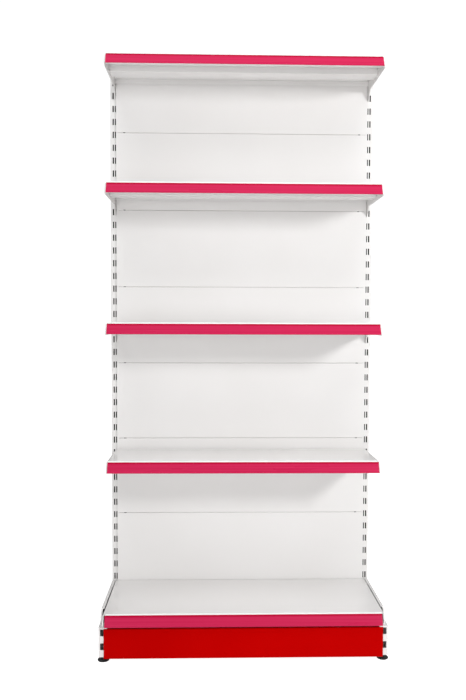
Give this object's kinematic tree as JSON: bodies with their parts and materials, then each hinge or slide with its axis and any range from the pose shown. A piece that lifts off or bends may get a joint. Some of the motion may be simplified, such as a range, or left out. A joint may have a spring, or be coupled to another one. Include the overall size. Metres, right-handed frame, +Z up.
{
  "type": "gondola shelving unit",
  "caption": "Single-sided shop shelving bay: slotted uprights on base feet, hook-on back panels, bracketed tray shelves with coloured price strips, base shelf and kick plate.",
  "frame": {"origin": "on the floor, at the middle of the unit's footprint box", "axes": "+Z up, -Y towards the shopper (front), +X to the shopper's right, along the shelves"},
  "size_m": [1.042, 0.4384, 2.25],
  "materials": {
    "white_powder_coat": "smooth semi-gloss powder coat on folded steel",
    "red_powder_coat": "semi-gloss powder coat on folded steel",
    "crimson_strip": "extruded PVC strip with a fine lengthwise grain",
    "strip_holder_plastic": "white extruded PVC",
    "cap_plastic": "moulded, satin",
    "black_plastic": "moulded, lightly textured",
    "zinc": "bright zinc plate on thread and nut"
  },
  "bodies": {
    "frame": {"left_upright": "white_powder_coat", "left_upright_cap": "cap_plastic", "left_upright_base_plug": "black_plastic", "left_base_foot": "white_powder_coat", "right_upright": "white_powder_coat", "right_upright_cap": "cap_plastic", "right_upright_base_plug": "black_plastic", "right_base_foot": "white_powder_coat", "front_left_lock_nut": "zinc", "rear_left_lock_nut": "zinc", "front_right_lock_nut": "zinc", "rear_right_lock_nut": "zinc", "back_panel_1": "white_powder_coat", "back_panel_2": "white_powder_coat", "back_panel_3": "white_powder_coat", "back_panel_4": "white_powder_coat", "back_panel_5": "white_powder_coat", "back_panel_6": "white_powder_coat"},
    "top_back_panel": {"back_panel_7": "white_powder_coat"},
    "kick_plate": {"kick_plate": "red_powder_coat"},
    "base_shelf": {"base_shelf": "white_powder_coat", "base_shelf_rib": "white_powder_coat", "base_strip_holder": "strip_holder_plastic"},
    "base_strip": {"base_strip_insert": "crimson_strip"},
    "shelf_1_left_bracket": {"shelf_1_left_bracket": "white_powder_coat"},
    "shelf_1_right_bracket": {"shelf_1_right_bracket": "white_powder_coat"},
    "shelf_1": {"shelf_1_tray": "white_powder_coat", "shelf_1_rib": "white_powder_coat", "shelf_1_strip_holder": "strip_holder_plastic"},
    "shelf_1_strip": {"shelf_1_strip_insert": "crimson_strip"},
    "shelf_2_left_bracket": {"shelf_2_left_bracket": "white_powder_coat"},
    "shelf_2_right_bracket": {"shelf_2_right_bracket": "white_powder_coat"},
    "shelf_2": {"shelf_2_tray": "white_powder_coat", "shelf_2_rib": "white_powder_coat", "shelf_2_strip_holder": "strip_holder_plastic"},
    "shelf_2_strip": {"shelf_2_strip_insert": "crimson_strip"},
    "shelf_3_left_bracket": {"shelf_3_left_bracket": "white_powder_coat"},
    "shelf_3_right_bracket": {"shelf_3_right_bracket": "white_powder_coat"},
    "shelf_3": {"shelf_3_tray": "white_powder_coat", "shelf_3_rib": "white_powder_coat", "shelf_3_strip_holder": "strip_holder_plastic"},
    "shelf_3_strip": {"shelf_3_strip_insert": "crimson_strip"},
    "shelf_4_left_bracket": {"shelf_4_left_bracket": "white_powder_coat"},
    "shelf_4_right_bracket": {"shelf_4_right_bracket": "white_powder_coat"},
    "shelf_4": {"shelf_4_tray": "white_powder_coat", "shelf_4_rib": "white_powder_coat", "shelf_4_strip_holder": "strip_holder_plastic"},
    "shelf_4_strip": {"shelf_4_strip_insert": "crimson_strip"},
    "front_left_pad": {"front_left_levelling_pad": "black_plastic"},
    "front_left_stud": {"front_left_levelling_stud": "zinc"},
    "rear_left_pad": {"rear_left_levelling_pad": "black_plastic"},
    "rear_left_stud": {"rear_left_levelling_stud": "zinc"},
    "front_right_pad": {"front_right_levelling_pad": "black_plastic"},
    "front_right_stud": {"front_right_levelling_stud": "zinc"},
    "rear_right_pad": {"rear_right_levelling_pad": "black_plastic"},
    "rear_right_stud": {"rear_right_levelling_stud": "zinc"}
  },
  "joints": [
    {"name": "top_back_panel_lift", "type": "slide", "parent": "frame", "child": "top_back_panel", "axis": [0, 0, 1], "range_m": [0, 0.01]},
    {"name": "kick_plate_lift", "type": "slide", "parent": "frame", "child": "kick_plate", "axis": [0, 0, 1], "range_m": [0, 0.008]},
    {"name": "base_shelf_lift", "type": "slide", "parent": "frame", "child": "base_shelf", "axis": [0, 0, 1], "range_m": [0, 0.08]},
    {"name": "base_strip_slide", "type": "slide", "parent": "base_shelf", "child": "base_strip", "axis": [1, 0, 0], "range_m": [0, 0.985]},
    {"name": "shelf_1_left_bracket_lift", "type": "slide", "parent": "frame", "child": "shelf_1_left_bracket", "axis": [0, 0, 1], "range_m": [0, 0.009]},
    {"name": "shelf_1_right_bracket_lift", "type": "slide", "parent": "frame", "child": "shelf_1_right_bracket", "axis": [0, 0, 1], "range_m": [0, 0.009]},
    {"name": "shelf_1_lift", "type": "slide", "parent": "shelf_1_left_bracket", "child": "shelf_1", "axis": [0, 0, 1], "range_m": [0, 0.06]},
    {"name": "shelf_1_strip_slide", "type": "slide", "parent": "shelf_1", "child": "shelf_1_strip", "axis": [1, 0, 0], "range_m": [0, 0.985]},
    {"name": "shelf_2_left_bracket_lift", "type": "slide", "parent": "frame", "child": "shelf_2_left_bracket", "axis": [0, 0, 1], "range_m": [0, 0.009]},
    {"name": "shelf_2_right_bracket_lift", "type": "slide", "parent": "frame", "child": "shelf_2_right_bracket", "axis": [0, 0, 1], "range_m": [0, 0.009]},
    {"name": "shelf_2_lift", "type": "slide", "parent": "shelf_2_left_bracket", "child": "shelf_2", "axis": [0, 0, 1], "range_m": [0, 0.06]},
    {"name": "shelf_2_strip_slide", "type": "slide", "parent": "shelf_2", "child": "shelf_2_strip", "axis": [1, 0, 0], "range_m": [0, 0.985]},
    {"name": "shelf_3_left_bracket_lift", "type": "slide", "parent": "frame", "child": "shelf_3_left_bracket", "axis": [0, 0, 1], "range_m": [0, 0.009]},
    {"name": "shelf_3_right_bracket_lift", "type": "slide", "parent": "frame", "child": "shelf_3_right_bracket", "axis": [0, 0, 1], "range_m": [0, 0.009]},
    {"name": "shelf_3_lift", "type": "slide", "parent": "shelf_3_left_bracket", "child": "shelf_3", "axis": [0, 0, 1], "range_m": [0, 0.06]},
    {"name": "shelf_3_strip_slide", "type": "slide", "parent": "shelf_3", "child": "shelf_3_strip", "axis": [1, 0, 0], "range_m": [0, 0.985]},
    {"name": "shelf_4_left_bracket_lift", "type": "slide", "parent": "frame", "child": "shelf_4_left_bracket", "axis": [0, 0, 1], "range_m": [0, 0.009]},
    {"name": "shelf_4_right_bracket_lift", "type": "slide", "parent": "frame", "child": "shelf_4_right_bracket", "axis": [0, 0, 1], "range_m": [0, 0.009]},
    {"name": "shelf_4_lift", "type": "slide", "parent": "shelf_4_left_bracket", "child": "shelf_4", "axis": [0, 0, 1], "range_m": [0, 0.06]},
    {"name": "shelf_4_strip_slide", "type": "slide", "parent": "shelf_4", "child": "shelf_4_strip", "axis": [1, 0, 0], "range_m": [0, 0.985]},
    {"name": "front_left_pad_slide", "type": "slide", "parent": "frame", "child": "front_left_pad", "axis": [0, 0, 1], "range_m": [-0.012, 0]},
    {"name": "front_left_stud_turn", "type": "hinge", "parent": "front_left_pad", "child": "front_left_stud", "pos_m": [-0.5, -0.17582, 0.03], "axis": [0, 0, 1], "range_deg": [-2881, 0]},
    {"name": "rear_left_pad_slide", "type": "slide", "parent": "frame", "child": "rear_left_pad", "axis": [0, 0, 1], "range_m": [-0.012, 0]},
    {"name": "rear_left_stud_turn", "type": "hinge", "parent": "rear_left_pad", "child": "rear_left_stud", "pos_m": [-0.5, 0.18918, 0.03], "axis": [0, 0, 1], "range_deg": [-2881, 0]},
    {"name": "front_right_pad_slide", "type": "slide", "parent": "frame", "child": "front_right_pad", "axis": [0, 0, 1], "range_m": [-0.012, 0]},
    {"name": "front_right_stud_turn", "type": "hinge", "parent": "front_right_pad", "child": "front_right_stud", "pos_m": [0.5, -0.17582, 0.03], "axis": [0, 0, 1], "range_deg": [-2881, 0]},
    {"name": "rear_right_pad_slide", "type": "slide", "parent": "frame", "child": "rear_right_pad", "axis": [0, 0, 1], "range_m": [-0.012, 0]},
    {"name": "rear_right_stud_turn", "type": "hinge", "parent": "rear_right_pad", "child": "rear_right_stud", "pos_m": [0.5, 0.18918, 0.03], "axis": [0, 0, 1], "range_deg": [-2881, 0]}
  ],
  "couplings": [
    {"joint": "shelf_1_right_bracket_lift", "follows": "shelf_1_left_bracket_lift", "ratio": 1},
    {"joint": "shelf_2_right_bracket_lift", "follows": "shelf_2_left_bracket_lift", "ratio": 1},
    {"joint": "shelf_3_right_bracket_lift", "follows": "shelf_3_left_bracket_lift", "ratio": 1},
    {"joint": "shelf_4_right_bracket_lift", "follows": "shelf_4_left_bracket_lift", "ratio": 1},
    {"joint": "front_left_stud_turn", "follows": "front_left_pad_slide", "rad_per_m": 4188.8},
    {"joint": "rear_left_stud_turn", "follows": "rear_left_pad_slide", "rad_per_m": 4188.8},
    {"joint": "front_right_stud_turn", "follows": "front_right_pad_slide", "rad_per_m": 4188.8},
    {"joint": "rear_right_stud_turn", "follows": "rear_right_pad_slide", "rad_per_m": 4188.8}
  ]
}
